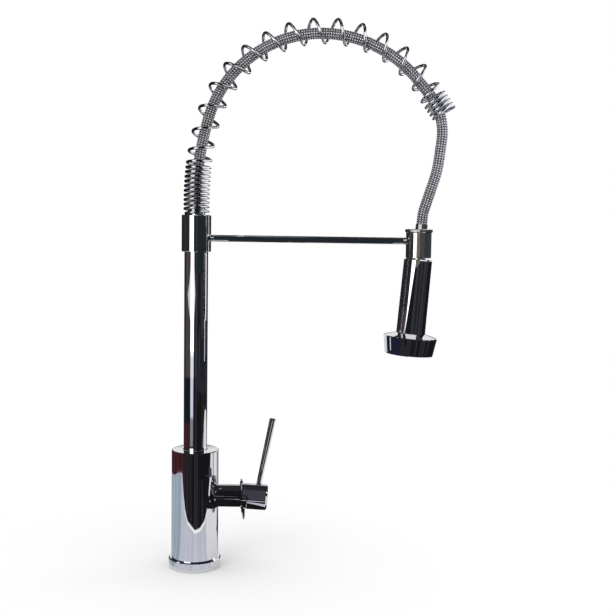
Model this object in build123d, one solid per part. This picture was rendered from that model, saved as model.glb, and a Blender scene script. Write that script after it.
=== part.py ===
from build123d import *
import os
from math import cos, pi, radians, sin, sqrt, tan

# Kitchen mixer with a spring arch and a pull-down spray, in millimetres.
# Origin: centre of the base flange's bottom face. +Z is up, +X is the side of the spout and the handle.

# ---------------------------------------------------------------- clearances
FIT = 0.05            # radial play of parts that turn or slide in each other, and of seated parts
FACE_GAP = 0.1        # axial play between faces that turn past each other
FREE_GAP = 0.3        # room between pieces that must never touch

# ---------------------------------------------------------------- base and mixer body
FLANGE_DIAMETER = 62.5
FLANGE_HEIGHT = 12.0
FLANGE_EDGE = 1.2
GASKET_WIDTH = 2.4
GASKET_DEPTH = 2.0
BODY_DIAMETER = 56.0
BODY_TOP = 143.0
BODY_WALL = 5.5
BODY_EDGE = 0.8
FOOT_STEP = 2.5       # how much thinner the body's foot is than the body, on the radius
FOOT_BOTTOM = 2.5
MANIFOLD_TOP = 122.0
INLET_RADIUS = 4.5    # tapped M10 x 1
INLET_DEPTH = 22.0
INLET_SPACING = 18.0
CHANNEL_RADIUS = 2.5
PORT_OFFSET = 6.0     # distance of each cartridge port from the valve's axis
PORT_DROP = 1.0       # the inlet ports lie a little under the valve's axis
STUD_RADIUS = 3.4     # tapped M8
STUD_DEPTH = 20.0
STUD_OFFSET = 12.0

# ---------------------------------------------------------------- swivel
COLUMN_DIAMETER = 28.0
COLUMN_WALL = 1.2
BUSH_WALL = 1.0
BUSH_LENGTH = 10.0
WASHER_THICKNESS = 1.5
SPIGOT_RADIUS = 9.9
SPIGOT_BOTTOM = 99.0
SPIGOT_PLUG = 26.0    # length of the spigot inside the column tube
SPIGOT_BORE = 5.0
O_RING_RADIUS = 0.95
O_RING_LOW = 104.0
O_RING_STEP = 6.0
LOCK_GROOVE_Z = 117.5
LOCK_GROOVE_WIDTH = 4.4
LOCK_GROOVE_DEPTH = 1.5
LOCK_SCREW_RADIUS = 2.0

# ---------------------------------------------------------------- column head and collar
COLLAR_DIAMETER = 34.7
COLLAR_BOTTOM = 379.6
COLLAR_TOP = 422.7
COLLAR_WALL = 2.0
COLLAR_LIP = 8.0      # the collar's lower length that hugs the column
HEAD_CORE_BORE = 4.0
HEAD_CORE_PLUG = 16.0
SEAT_THICKNESS = 8.0
SEAT_NOSE = 8.0
COLLAR_SCREW_RADIUS = 2.0
NIPPLE_LENGTH = 14.0

# ---------------------------------------------------------------- support rod and docking ring
ROD_DIAMETER = 8.0
ROD_Z = 395.6
ROD_DEPTH = 7.0       # how far the rod screws into the column head
RING_X = 262.4
RING_DIAMETER = 30.0
RING_WALL = 2.0
RING_BOTTOM = 375.8
RING_TOP = 409.6
RING_LIP_DIAMETER = 32.6
RING_LIP_HEIGHT = 3.0
LINER_WALL = 0.8

# ---------------------------------------------------------------- arch spring
WIRE = 3.6
SPRING_DIAMETER = 31.0
CLOSE_PITCH = 5.23
OPEN_PITCH = 26.7
LOWER_CLOSE_TURNS = 11
OPEN_TURNS = 12
UPPER_CLOSE_TURNS = 4
LOWER_GRADING = (0.49, 0.83)    # the two turns before the open ones, as shares of the open pitch
UPPER_GRADING = (0.93, 0.44)    # the two turns after them
COIL_STEPS = 4                  # route points a turn, with one biarc between two of them
TANG_BEND = 4.5                 # bend of the wire's end into its seat
ARCH_RISE = 18.8                # straight height above the collar
ARCH_FLANK_RADIUS = 336.0
ARCH_FLANK_TURN = 16.3
ARCH_CROWN_RADIUS = 141.5
ARCH_CROWN_TURN = 127.7

# ---------------------------------------------------------------- hose
HOSE_DIAMETER = 13.0
HOSE_BORE = 8.0
FERRULE_WALL = 1.0
LOWER_FERRULE = 18.0
HOSE_START = 418.0
# (radius, turn in degrees) of each bend above the straight start, then straight lengths between
HOSE_BENDS = ((336.0, 16.3), (137.5, 73.7), (146.0, 49.0))
HOSE_DROP_LINE = 21.0
HOSE_DROP_RADIUS = 72.0
HOSE_DROP_TURN = 48.0
HOSE_HANG_LINE = 24.0
HOSE_HANG_RADIUS = 113.0
HOSE_HANG_TURN = 10.6
HOSE_ENTRY_RADIUS = 56.0

# ---------------------------------------------------------------- spray head, along its own leaning axis
HEAD_TOP_X = 262.3
HEAD_TOP_Z = 374.4
HEAD_TILT = 4.53
HANDLE_LENGTH = 88.2
HANDLE_TOP_DIAMETER = 33.2
HANDLE_BOTTOM_DIAMETER = 34.3
HANDLE_WALL = 1.6
HANDLE_EDGE = 1.2
NUT_RADIUS = 8.2
NUT_THREAD = 9.0
UPPER_FERRULE_TOP = 41.0        # above the handle's top
UPPER_FERRULE_LENGTH = 18.0
SHOULDER_HEIGHT = 4.5
BELL_RIM_DIAMETER = 63.4
BELL_BOTTOM_DIAMETER = 57.0
BELL_HEIGHT = 21.0
BELL_WALL = 2.0
SELECTOR_HEIGHT = 3.2
PLATE_RECESS = 1.2
NOZZLE_RADIUS = 1.1
NOZZLE_LENGTH = 1.6
NOZZLE_RINGS = ((11.5, 12), (17.0, 18), (22.0, 24))   # (circle radius, nozzles)
AERATOR_RADIUS = 7.5
WATERWAY_RADIUS = 5.5
WATERWAY_WALL = 1.3

# ---------------------------------------------------------------- side valve and handle
VALVE_Z = 86.4
HOUSING_DIAMETER = 26.8
HOUSING_WALL = 1.0
HOUSING_END = 54.6
CARTRIDGE_START = 17.0
CARTRIDGE_END = 52.0
CARTRIDGE_WALL = 1.6
NUT_START = 46.0
DISC_THICKNESS = 3.0
FIXED_DISC_X = 36.5
SLIDER_RADIUS = 6.8
CARRIER_THICKNESS = 5.0
GUIDE_NOSE_RADIUS = 6.6
PIVOT_X = 56.1
PIVOT_PIN_RADIUS = 1.5
STEM_WIDTH = 6.0
STEM_TAIL = 9.7       # from the pivot to the centre of the stem's ball
BALL_RADIUS = 2.5
STEM_REACH = 15.0     # from the pivot into the cap's socket
HANDLE_REST_TILT = 3.4
HANDLE_OPEN_TILT = 16.0         # how far the flow hinge turns from rest
CAP_DIAMETER = 30.4
CAP_LENGTH = 31.0
CAP_EDGE = 0.8
CAP_MOUTH_DEPTH = 13.0
TRIM_DISC_DIAMETER = 48.0
TRIM_DISC_THICKNESS = 1.4
TRIM_DISC_SKEW = 8.0
TRIM_DISC_DROP = 4.0
TRIM_DISC_X = 1.2
LEVER_BASE_X = 17.4   # along the cap from the pivot
LEVER_LEAN = 8.0      # leans outward from square to the cap
LEVER_LENGTH = 82.0
LEVER_BASE_DIAMETER = 6.0
LEVER_TOP_DIAMETER = 7.6
LEVER_SEAT = 5.0
HANDLE_SCREW_RADIUS = 1.8

# ---------------------------------------------------------------- worked-out sizes
BODY_RADIUS = BODY_DIAMETER / 2
BODY_BORE = BODY_RADIUS - BODY_WALL
FOOT_RADIUS = BODY_RADIUS - FOOT_STEP
MANIFOLD_RADIUS = BODY_BORE - FIT
COLUMN_RADIUS = COLUMN_DIAMETER / 2
COLUMN_BORE = COLUMN_RADIUS - COLUMN_WALL
SOCKET_RADIUS = SPIGOT_RADIUS + FIT
COLUMN_BOTTOM = MANIFOLD_TOP + WASHER_THICKNESS + 2 * FACE_GAP
COLLAR_RADIUS = COLLAR_DIAMETER / 2
COLLAR_BORE = COLLAR_RADIUS - COLLAR_WALL
COLUMN_TOP = COLLAR_BOTTOM + COLLAR_LIP
SEAT_BOTTOM = COLLAR_TOP - SEAT_THICKNESS
ROD_RADIUS = ROD_DIAMETER / 2
RING_RADIUS = RING_DIAMETER / 2
RING_BORE = RING_RADIUS - RING_WALL
COIL_RADIUS = (SPRING_DIAMETER - WIRE) / 2
COIL_BORE = COIL_RADIUS - WIRE / 2
HOSE_RADIUS = HOSE_DIAMETER / 2
HOUSING_RADIUS = HOUSING_DIAMETER / 2
HOUSING_BORE = HOUSING_RADIUS - HOUSING_WALL
CARTRIDGE_RADIUS = HOUSING_BORE - FIT
CAP_RADIUS = CAP_DIAMETER / 2
CAP_MOUTH = HOUSING_RADIUS / cos(radians(HANDLE_REST_TILT + HANDLE_OPEN_TILT)) + FREE_GAP / 2
BELL_RIM = BELL_RIM_DIAMETER / 2
BELL_BOTTOM = BELL_BOTTOM_DIAMETER / 2


# ---------------------------------------------------------------- helpers
def save(name, shape):
    """Write one node's solids."""
    export_step(shape, f"parts/{name}.step")


def rod(radius, bottom, top, x=0.0, y=0.0):
    """A round bar along Z between two heights."""
    return Pos(x, y, (bottom + top) / 2) * Cylinder(radius, top - bottom)


def pipe(outer, inner, bottom, top):
    """A round tube along Z between two heights."""
    return rod(outer, bottom, top) - rod(inner, bottom - 1, top + 1)


def turned(*points):
    """A solid turned about Z from (radius, height) points."""
    outline = Polyline(*[(radius, 0, height) for radius, height in points], close=True)
    return revolve(make_face(outline), Axis.Z)


def cross_bar(radius, start, end, x=0.0, z=0.0):
    """A round bar along Y between two places."""
    return Pos(x, (start + end) / 2, z) * Rot(90, 0, 0) * Cylinder(radius, end - start)


def long_bar(radius, start, end, y=0.0, z=0.0):
    """A round bar along X between two places."""
    return Pos((start + end) / 2, y, z) * Rot(0, 90, 0) * Cylinder(radius, end - start)


def on_valve(shape):
    """Place a piece built along Z on the valve's axis, with its heights as X."""
    return Pos(0, 0, VALVE_Z) * Rot(0, 90, 0) * shape


def on_handle(shape):
    """Place a piece built along Z from the pivot on the resting handle."""
    return Pos(PIVOT_X, 0, VALVE_Z) * Rot(0, 90 + HANDLE_REST_TILT, 0) * shape


def on_head(shape):
    """Place a piece built along Z from the spray handle's top on the leaning head."""
    return Pos(HEAD_TOP_X, 0, HEAD_TOP_Z) * Rot(0, HEAD_TILT, 0) * shape


# ---------------------------------------------------------------- the base
def base_flange():
    """Turned foot ring that covers the deck hole."""
    radius = FLANGE_DIAMETER / 2
    bore = FOOT_RADIUS + FIT
    ring = turned((bore, 0), (radius, 0), (radius, FLANGE_HEIGHT - FLANGE_EDGE),
                  (radius - FLANGE_EDGE, FLANGE_HEIGHT), (bore, FLANGE_HEIGHT))
    middle = (bore + radius) / 2
    groove = pipe(middle + GASKET_WIDTH / 2, middle - GASKET_WIDTH / 2, -1, GASKET_DEPTH)
    return ring - groove


def base_gasket():
    """Rubber ring in the flange's groove, flush with its bottom."""
    middle = (FOOT_RADIUS + FIT + FLANGE_DIAMETER / 2) / 2
    half = GASKET_WIDTH / 2 - FIT
    return pipe(middle + half, middle - half, 0, GASKET_DEPTH - FIT)


def valve_body():
    """Cast body: foot in the flange, bored for the manifold, the column and the side valve."""
    shell = turned((BODY_BORE, FOOT_BOTTOM), (FOOT_RADIUS, FOOT_BOTTOM),
                   (FOOT_RADIUS, FLANGE_HEIGHT + FIT), (BODY_RADIUS, FLANGE_HEIGHT + FIT),
                   (BODY_RADIUS, BODY_TOP - BODY_EDGE), (BODY_RADIUS - BODY_EDGE, BODY_TOP),
                   (bush_radius() + FIT, BODY_TOP), (bush_radius() + FIT, MANIFOLD_TOP + FIT),
                   (BODY_BORE, MANIFOLD_TOP + FIT))
    side = long_bar(HOUSING_RADIUS + FIT, MANIFOLD_RADIUS / 2, BODY_RADIUS + 1, z=VALVE_Z)
    lock = cross_bar(LOCK_SCREW_RADIUS + FIT, BODY_BORE - 1, BODY_RADIUS + 1, z=LOCK_GROOVE_Z)
    return shell - side - lock


def bush_radius():
    """Outside of the upper swivel bush."""
    return COLUMN_RADIUS + FIT + BUSH_WALL


def inlet_manifold():
    """Brass core: two tapped inlets, a tapped stud hole, the cartridge pocket and the swivel socket."""
    core = rod(MANIFOLD_RADIUS, FOOT_BOTTOM, MANIFOLD_TOP)
    core -= rod(SOCKET_RADIUS, SPIGOT_BOTTOM - FACE_GAP, MANIFOLD_TOP + 1)
    core -= long_bar(HOUSING_RADIUS + FIT, CARTRIDGE_START - FIT, BODY_RADIUS, z=VALVE_Z)
    for side in (-1, 1):
        y = side * INLET_SPACING / 2
        core -= rod(INLET_RADIUS, FOOT_BOTTOM - 1, FOOT_BOTTOM + INLET_DEPTH, y=y)
        core -= rod(CHANNEL_RADIUS, FOOT_BOTTOM, VALVE_Z + PORT_DROP, y=y)
        core -= long_bar(CHANNEL_RADIUS, 0, CARTRIDGE_START + 1, y=side * PORT_OFFSET, z=VALVE_Z - PORT_DROP)
    core -= rod(STUD_RADIUS, FOOT_BOTTOM - 1, FOOT_BOTTOM + STUD_DEPTH, x=-STUD_OFFSET)
    core -= long_bar(CHANNEL_RADIUS, 0, CARTRIDGE_START + 1, z=VALVE_Z + PORT_OFFSET)
    core -= rod(CHANNEL_RADIUS, VALVE_Z + PORT_OFFSET, SPIGOT_BOTTOM)
    core -= cross_bar(LOCK_SCREW_RADIUS + FIT, 0, BODY_RADIUS, z=LOCK_GROOVE_Z)
    return core


def swivel_bush():
    """Plastic sleeve between the body and the turning column."""
    return pipe(bush_radius(), COLUMN_RADIUS + FIT, BODY_TOP - BUSH_LENGTH, BODY_TOP - FIT)


def thrust_washer():
    """Plastic washer that carries the column's weight."""
    bottom = MANIFOLD_TOP + FIT
    return pipe(COLUMN_RADIUS, SOCKET_RADIUS + FREE_GAP, bottom, bottom + WASHER_THICKNESS)


def swivel_screw():
    """Dog-point screw at the back whose tip runs in the spigot's groove."""
    tip = SPIGOT_RADIUS - LOCK_GROOVE_DEPTH + FREE_GAP
    screw = cross_bar(LOCK_SCREW_RADIUS, tip, BODY_RADIUS - 2, z=LOCK_GROOVE_Z)
    socket = cross_bar(LOCK_SCREW_RADIUS / 2, BODY_RADIUS - 4, BODY_RADIUS, z=LOCK_GROOVE_Z)
    return screw - socket


# ---------------------------------------------------------------- the turning column
def column_spigot():
    """Brass plug brazed in the column's foot, turning in the manifold's socket."""
    groove = LOCK_GROOVE_WIDTH / 2
    ring_seat = O_RING_RADIUS + FIT
    deep = SPIGOT_RADIUS - 2 * O_RING_RADIUS
    points = [(SPIGOT_BORE, SPIGOT_BOTTOM), (SPIGOT_RADIUS, SPIGOT_BOTTOM)]
    for height in (O_RING_LOW, O_RING_LOW + O_RING_STEP):
        points += [(SPIGOT_RADIUS, height - ring_seat), (deep, height - ring_seat)]
        points += [(deep, height + ring_seat), (SPIGOT_RADIUS, height + ring_seat)]
    low = SPIGOT_RADIUS - LOCK_GROOVE_DEPTH
    points += [(SPIGOT_RADIUS, LOCK_GROOVE_Z - groove), (low, LOCK_GROOVE_Z - groove)]
    points += [(low, LOCK_GROOVE_Z + groove), (SPIGOT_RADIUS, LOCK_GROOVE_Z + groove)]
    points += [(SPIGOT_RADIUS, COLUMN_BOTTOM), (COLUMN_BORE - FIT, COLUMN_BOTTOM)]
    top = COLUMN_BOTTOM + SPIGOT_PLUG
    points += [(COLUMN_BORE - FIT, top), (SPIGOT_BORE, top)]
    return turned(*points)


def swivel_o_rings():
    """Two seals in the spigot's grooves."""
    middle = SPIGOT_RADIUS - O_RING_RADIUS
    low = Pos(0, 0, O_RING_LOW) * Torus(middle, O_RING_RADIUS - FIT)
    return Compound(children=[low, Pos(0, 0, O_RING_STEP) * low])


def column_tube():
    """Chromed column tube."""
    return pipe(COLUMN_RADIUS, COLUMN_BORE, COLUMN_BOTTOM, COLUMN_TOP)


def column_head():
    """Brass head of the column: plugs into the tube, carries the rod and the hose nipple."""
    bottom = COLUMN_TOP - HEAD_CORE_PLUG
    top = SEAT_BOTTOM - FIT
    wide = COLLAR_BORE - FIT
    nipple = HOSE_BORE / 2 - FIT
    core = turned((HEAD_CORE_BORE / 2, bottom), (COLUMN_BORE - FIT, bottom),
                  (COLUMN_BORE - FIT, COLUMN_TOP + FIT), (wide, COLUMN_TOP + FIT), (wide, top),
                  (nipple, top), (nipple, HOSE_START + NIPPLE_LENGTH),
                  (HEAD_CORE_BORE / 2, HOSE_START + NIPPLE_LENGTH))
    core -= long_bar(ROD_RADIUS + FIT, wide - ROD_DEPTH, wide + 1, z=ROD_Z)
    core -= cross_bar(COLLAR_SCREW_RADIUS + FIT, wide - 4, wide + 1, z=ROD_Z)
    return core


def column_collar():
    """Chromed sleeve over the column's head."""
    hug = COLUMN_RADIUS + FIT
    edge = 0.6
    sleeve = turned((hug, COLLAR_BOTTOM), (COLLAR_RADIUS - edge, COLLAR_BOTTOM),
                    (COLLAR_RADIUS, COLLAR_BOTTOM + edge), (COLLAR_RADIUS, COLLAR_TOP - edge),
                    (COLLAR_RADIUS - edge, COLLAR_TOP), (COLLAR_BORE, COLLAR_TOP),
                    (COLLAR_BORE, COLUMN_TOP), (hug, COLUMN_TOP))
    sleeve -= long_bar(ROD_RADIUS + FIT, COLLAR_BORE - 1, COLLAR_RADIUS + 1, z=ROD_Z)
    return sleeve - cross_bar(COLLAR_SCREW_RADIUS + FIT, COLLAR_BORE - 1, COLLAR_RADIUS + 1, z=ROD_Z)


def collar_screw():
    """Grub screw at the collar's back."""
    inner = COLLAR_BORE - 3.5
    screw = cross_bar(COLLAR_SCREW_RADIUS, inner, COLLAR_RADIUS - 0.3, z=ROD_Z)
    return screw - cross_bar(COLLAR_SCREW_RADIUS / 2, COLLAR_RADIUS - 2.3, COLLAR_RADIUS, z=ROD_Z)


def spring_seat():
    """Ring in the collar's mouth: the spring stands on it and its nose centres the spring."""
    bore = HOSE_RADIUS + FERRULE_WALL + FREE_GAP
    nose = tang_radius() - WIRE / 2 - FREE_GAP
    seat = turned((bore, SEAT_BOTTOM), (COLLAR_BORE - FIT, SEAT_BOTTOM), (COLLAR_BORE - FIT, COLLAR_TOP),
                  (nose, COLLAR_TOP), (nose, COLLAR_TOP + SEAT_NOSE - 1), (nose - 1, COLLAR_TOP + SEAT_NOSE),
                  (bore, COLLAR_TOP + SEAT_NOSE))
    room = WIRE / 2 + FREE_GAP
    slot = Pos(-tang_radius(), TANG_BEND / 2, COLLAR_TOP) * Box(2 * room, TANG_BEND + 2 * room, 4 * SEAT_THICKNESS)
    return seat - slot


def support_rod():
    """Bar from the column's head to the docking ring."""
    start = COLLAR_BORE - FIT - ROD_DEPTH + FIT
    return long_bar(ROD_RADIUS, start, RING_X - RING_BORE - FIT, z=ROD_Z)


def holder_ring():
    """Docking ring with a lip, in which the spray head's neck hangs."""
    lip = RING_LIP_DIAMETER / 2
    edge = 0.5
    step = RING_TOP - RING_LIP_HEIGHT
    ring = turned((RING_BORE, RING_BOTTOM), (RING_RADIUS - edge, RING_BOTTOM),
                  (RING_RADIUS, RING_BOTTOM + edge), (RING_RADIUS, step - 1), (lip, step),
                  (lip, RING_TOP - edge), (lip - edge, RING_TOP), (RING_BORE, RING_TOP))
    return Pos(RING_X, 0, 0) * ring - long_bar(ROD_RADIUS + FIT, 200, RING_X, z=ROD_Z)


def holder_liner():
    """Plastic sleeve in the docking ring."""
    outer = RING_BORE - FIT
    return Pos(RING_X, 0, 0) * pipe(outer, outer - LINER_WALL, RING_BOTTOM, RING_TOP)


# ---------------------------------------------------------------- the arch
def arch_centre(travel):
    """Point and direction of the spring's centreline, in XZ, at a length from the collar's top."""
    if travel < ARCH_RISE:
        return (0.0, COLLAR_TOP + travel), (0.0, 1.0)
    x, z, turn = 0.0, COLLAR_TOP + ARCH_RISE, 0.0
    travel -= ARCH_RISE
    for radius, sweep_angle in ((ARCH_FLANK_RADIUS, ARCH_FLANK_TURN), (ARCH_CROWN_RADIUS, ARCH_CROWN_TURN)):
        step = min(travel / radius, radians(sweep_angle))
        x += radius * (cos(turn) - cos(turn + step))
        z += radius * (sin(turn + step) - sin(turn))
        turn += step
        travel -= radius * step
    return (x + sin(turn) * travel, z + cos(turn) * travel), (sin(turn), cos(turn))


def coil_pitches():
    """Pitch of every turn from the collar to the spring's end."""
    rising = [share * OPEN_PITCH for share in LOWER_GRADING]
    closing = [share * OPEN_PITCH for share in UPPER_GRADING]
    lower = [CLOSE_PITCH] * LOWER_CLOSE_TURNS + rising
    return lower + [OPEN_PITCH] * OPEN_TURNS + closing + [CLOSE_PITCH] * UPPER_CLOSE_TURNS


def coil_route():
    """Points of the wire's line and its directions there, a right-handed helix on the centreline."""
    travel = WIRE / 2 + FACE_GAP
    stations = []
    for pitch in coil_pitches():
        for _ in range(COIL_STEPS):
            stations.append((travel, pitch))
            travel += pitch / COIL_STEPS
    stations.append((travel, CLOSE_PITCH))
    return [coil_point(step, place, pitch) for step, (place, pitch) in enumerate(stations)]


def coil_point(step, travel, pitch):
    """Wire point at one route step, and the wire's direction there."""
    phase = pi + 2 * pi * step / COIL_STEPS
    (x, z), (dx, dz) = arch_centre(travel)
    outward = (dz * cos(phase), sin(phase), -dx * cos(phase))
    place = Vector(x + COIL_RADIUS * outward[0], COIL_RADIUS * outward[1], z + COIL_RADIUS * outward[2])
    rate = pitch / (2 * pi)
    around = Vector(-dz * sin(phase), cos(phase), dx * sin(phase)) * COIL_RADIUS
    return place, (around + Vector(dx, 0, dz) * rate).normalized()


def biarc(start, start_way, end, end_way):
    """Two tangent arcs between two points with given directions."""
    chord = end - start
    ways = start_way + end_way
    bend = 2 * (1 - start_way.dot(end_way))
    along = chord.dot(ways)
    reach = (-along + sqrt(along * along + bend * chord.dot(chord))) / bend
    joint = (start + end + (start_way - end_way) * reach) * 0.5
    first = TangentArc(start, joint, tangent=start_way)
    second = TangentArc(joint, end, tangent=first % 1)
    return [first.edge(), second.edge()]


def arch_spring():
    """The visible spring: one unbroken wire, close-wound at both ends."""
    route = coil_route()
    first_height = route[0][0].Z
    foot, bend_start, level = tang_points(first_height)
    up = Vector(0, 0, 1)
    along = Vector(0, -1, 0)
    edges = [Line(foot, bend_start).edge()]
    edges += biarc(bend_start, up, level, along)
    route[0] = (level, along)
    for (here, here_way), (there, there_way) in zip(route, route[1:]):
        edges += biarc(here, here_way, there, there_way)
    last, last_way = route[-1]
    edges.append(Line(last, last + last_way * WIRE).edge())
    line = Wire(edges)
    section = Plane(origin=foot, z_dir=up) * Circle(WIRE / 2)
    return sweep(section, path=line), line


def tang_points(first_height):
    """The wire's end in the seat: foot, start of its bend and end of its bend."""
    x = -tang_radius()
    bend_start = Vector(x, TANG_BEND, first_height - TANG_BEND)
    return bend_start - Vector(0, 0, WIRE), bend_start, Vector(x, 0, first_height)


def tang_radius():
    """Distance of the wire's end from the column's axis, inside the collar's bore."""
    return sqrt((COLLAR_BORE - WIRE / 2 - FREE_GAP) ** 2 - TANG_BEND ** 2)


def least_gap(line):
    """Least room between the wire's turns, measured on points along its line."""
    count = int(line.length / 1.5)
    points = [line @ (index / count) for index in range(count + 1)]
    spacing = line.length / count
    skip = int(3 * WIRE / spacing) + 1
    near = int(OPEN_PITCH * 4 / spacing)
    least = 1000.0
    for index, point in enumerate(points):
        for other in points[index + skip:index + skip + near]:
            least = min(least, (point - other).length)
    return least - WIRE


# ---------------------------------------------------------------- the hose
def hose_line():
    """The hose's centreline from the column's head over the arch to the spray head."""
    rise = COLLAR_TOP + ARCH_RISE
    edges = [Line((0, 0, HOSE_START), (0, 0, rise)).edge()]
    heading = 90.0
    at = Vector(0, 0, rise)

    def bend(radius, turn):
        nonlocal heading, at
        way = Vector(cos(radians(heading)), 0, sin(radians(heading)))
        side = Vector(way.Z, 0, -way.X) * (1 if turn > 0 else -1)
        centre = at + side * radius
        middle = heading - turn / 2
        heading -= turn
        back = Vector(cos(radians(middle)), 0, sin(radians(middle)))
        half = centre - Vector(back.Z, 0, -back.X) * (1 if turn > 0 else -1) * radius
        out = Vector(cos(radians(heading)), 0, sin(radians(heading)))
        end = centre - Vector(out.Z, 0, -out.X) * (1 if turn > 0 else -1) * radius
        edges.append(ThreePointArc(at, half, end).edge())
        at = end

    def run(length):
        nonlocal at
        end = at + Vector(cos(radians(heading)), 0, sin(radians(heading))) * length
        edges.append(Line(at, end).edge())
        at = end

    for radius, turn in HOSE_BENDS:
        bend(radius, turn)
    run(HOSE_DROP_LINE)
    bend(HOSE_DROP_RADIUS, HOSE_DROP_TURN)
    run(HOSE_HANG_LINE)
    bend(HOSE_HANG_RADIUS, HOSE_HANG_TURN)
    # the last run meets the spray head's own axis, with one more arc between
    neck_heading = -90 - HEAD_TILT
    off_x, off_z = HEAD_TOP_X - at.X, HEAD_TOP_Z - at.Z
    across = off_x * sin(radians(neck_heading)) - off_z * cos(radians(neck_heading))
    meet = across / sin(radians(neck_heading - heading))
    back_turn = heading - neck_heading
    reach = HOSE_ENTRY_RADIUS * tan(radians(abs(back_turn) / 2))
    print(f"hose: last run {meet - reach:.2f}, turn back {back_turn:.2f}")
    run(meet - reach)
    bend(HOSE_ENTRY_RADIUS, back_turn)
    end = on_head(Pos(0, 0, hose_end())).position
    edges.append(Line(at, end).edge())
    return Wire(edges)


def hose_end():
    """Where the hose ends, above the spray handle's top."""
    return UPPER_FERRULE_TOP - UPPER_FERRULE_LENGTH + 2


def hose():
    """Braided hose, whole, with its bore."""
    line = hose_line()
    start = Plane(origin=(0, 0, HOSE_START), z_dir=(0, 0, 1))
    body = sweep(start * (Circle(HOSE_RADIUS) - Circle(HOSE_BORE / 2)), path=line)
    area = pi * (HOSE_RADIUS ** 2 - HOSE_BORE ** 2 / 4)
    print(f"hose: length {line.length:.1f}, volume {body.volume:.0f}, section x length {area * line.length:.0f}")
    return body


def hose_lower_ferrule():
    """Crimped sleeve on the hose's lower end."""
    inner = HOSE_RADIUS + FIT
    return pipe(inner + FERRULE_WALL, inner, HOSE_START, HOSE_START + LOWER_FERRULE)


def spring_length():
    """Length of the spring along its centreline."""
    return WIRE / 2 + FACE_GAP + sum(coil_pitches())


# ---------------------------------------------------------------- the spray head
def hose_upper_ferrule():
    """Chromed sleeve on the hose's upper end, above the docking ring."""
    inner = HOSE_RADIUS + FIT
    bottom = UPPER_FERRULE_TOP - UPPER_FERRULE_LENGTH
    return on_head(pipe(inner + FERRULE_WALL / 2, inner, bottom, UPPER_FERRULE_TOP))


def hose_nut():
    """Swivel nut that screws the hose into the spray handle."""
    bore = HOSE_BORE / 2
    top = UPPER_FERRULE_TOP - UPPER_FERRULE_LENGTH - FIT
    thread = NUT_RADIUS - 1.5
    nut = turned((bore, -NUT_THREAD), (thread, -NUT_THREAD), (thread, 0.4), (NUT_RADIUS, 0.4),
                 (NUT_RADIUS, top - 1), (NUT_RADIUS - 1, top), (bore, top))
    return on_head(nut)


def hose_washer():
    """Flat seal under the nut's thread."""
    return on_head(pipe(NUT_RADIUS - 1.6, HOSE_BORE / 2, -NUT_THREAD - 1.6, -NUT_THREAD - FIT))


def spray_handle():
    """Tapered chromed grip of the spray head, closed at the top round the nut."""
    top = HANDLE_TOP_DIAMETER / 2
    low = HANDLE_BOTTOM_DIAMETER / 2
    boss = NUT_RADIUS + 1.0
    thread = NUT_RADIUS - 1.5 + FIT
    shell = turned((thread, 0), (top - HANDLE_EDGE, 0), (top, -HANDLE_EDGE), (low, -HANDLE_LENGTH),
                   (low - HANDLE_WALL, -HANDLE_LENGTH), (top - HANDLE_WALL, -3), (boss, -3),
                   (boss, -NUT_THREAD - 4), (NUT_RADIUS - 4, -NUT_THREAD - 4),
                   (NUT_RADIUS - 4, -NUT_THREAD - 1.7), (thread, -NUT_THREAD - 1.7))
    return on_head(shell)


def check_valve():
    """Non-return valve in the waterway's mouth."""
    radius = WATERWAY_RADIUS - WATERWAY_WALL - FIT
    top = waterway_top() - 1
    body = rod(radius, top - 9, top)
    return on_head(body - rod(radius - 1, top - 7, top + 1) - rod(0.8, top - 10, top))


def waterway_top():
    """Top of the inner water tube, under the grip's boss."""
    return -NUT_THREAD - 4 - FIT


def bell_top():
    """Height of the bell's rim on the head's axis."""
    return -HANDLE_LENGTH - SHOULDER_HEIGHT


def bell_floor():
    """Height of the bell's lower edge, where the selector ring starts."""
    return bell_top() - BELL_HEIGHT + SELECTOR_HEIGHT


def waterway():
    """Plastic tube that leads the water through the grip to the spray body."""
    top = waterway_top()
    bottom = bell_top() - 3
    tube = pipe(WATERWAY_RADIUS, WATERWAY_RADIUS - WATERWAY_WALL, bottom, top)
    guide = pipe(HANDLE_BOTTOM_DIAMETER / 2 - HANDLE_WALL - FREE_GAP, WATERWAY_RADIUS,
                 -HANDLE_LENGTH + 6, -HANDLE_LENGTH + 9)
    return on_head(tube + guide)


def spray_bell():
    """Chromed bell under the grip, wide at its rim and narrower at its lower edge."""
    neck = HANDLE_BOTTOM_DIAMETER / 2
    rim = bell_top()
    floor = bell_floor()
    share = (rim - floor) / BELL_HEIGHT
    low = BELL_RIM - (BELL_RIM - BELL_BOTTOM) * share
    seat = neck - HANDLE_WALL - FIT
    shell = turned((neck, -HANDLE_LENGTH - FIT), (BELL_RIM - 1, rim + 0.4), (BELL_RIM, rim - 0.8),
                   (low, floor), (low - BELL_WALL, floor), (BELL_RIM - BELL_WALL, rim - BELL_WALL - 1),
                   (neck, rim - BELL_WALL + 0.6), (WATERWAY_RADIUS + FIT, rim - BELL_WALL + 0.6),
                   (WATERWAY_RADIUS + FIT, rim + 1), (seat - 2, rim + 1), (seat - 2, -HANDLE_LENGTH + 4),
                   (seat, -HANDLE_LENGTH + 4), (seat, -HANDLE_LENGTH - FIT))
    return on_head(shell)


def bell_seal():
    """Seal between the waterway and the bell."""
    return on_head(Pos(0, 0, bell_top() - BELL_WALL - 0.6) * Torus(WATERWAY_RADIUS + 1.1, 1.0))


def plate_radius():
    """Radius of the spray plate inside the bell."""
    share = (bell_top() - bell_floor()) / BELL_HEIGHT
    return BELL_RIM - (BELL_RIM - BELL_BOTTOM) * share - BELL_WALL - FIT


def plate_top():
    """Height of the spray plate's upper face."""
    return bell_floor() + 1.5


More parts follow.
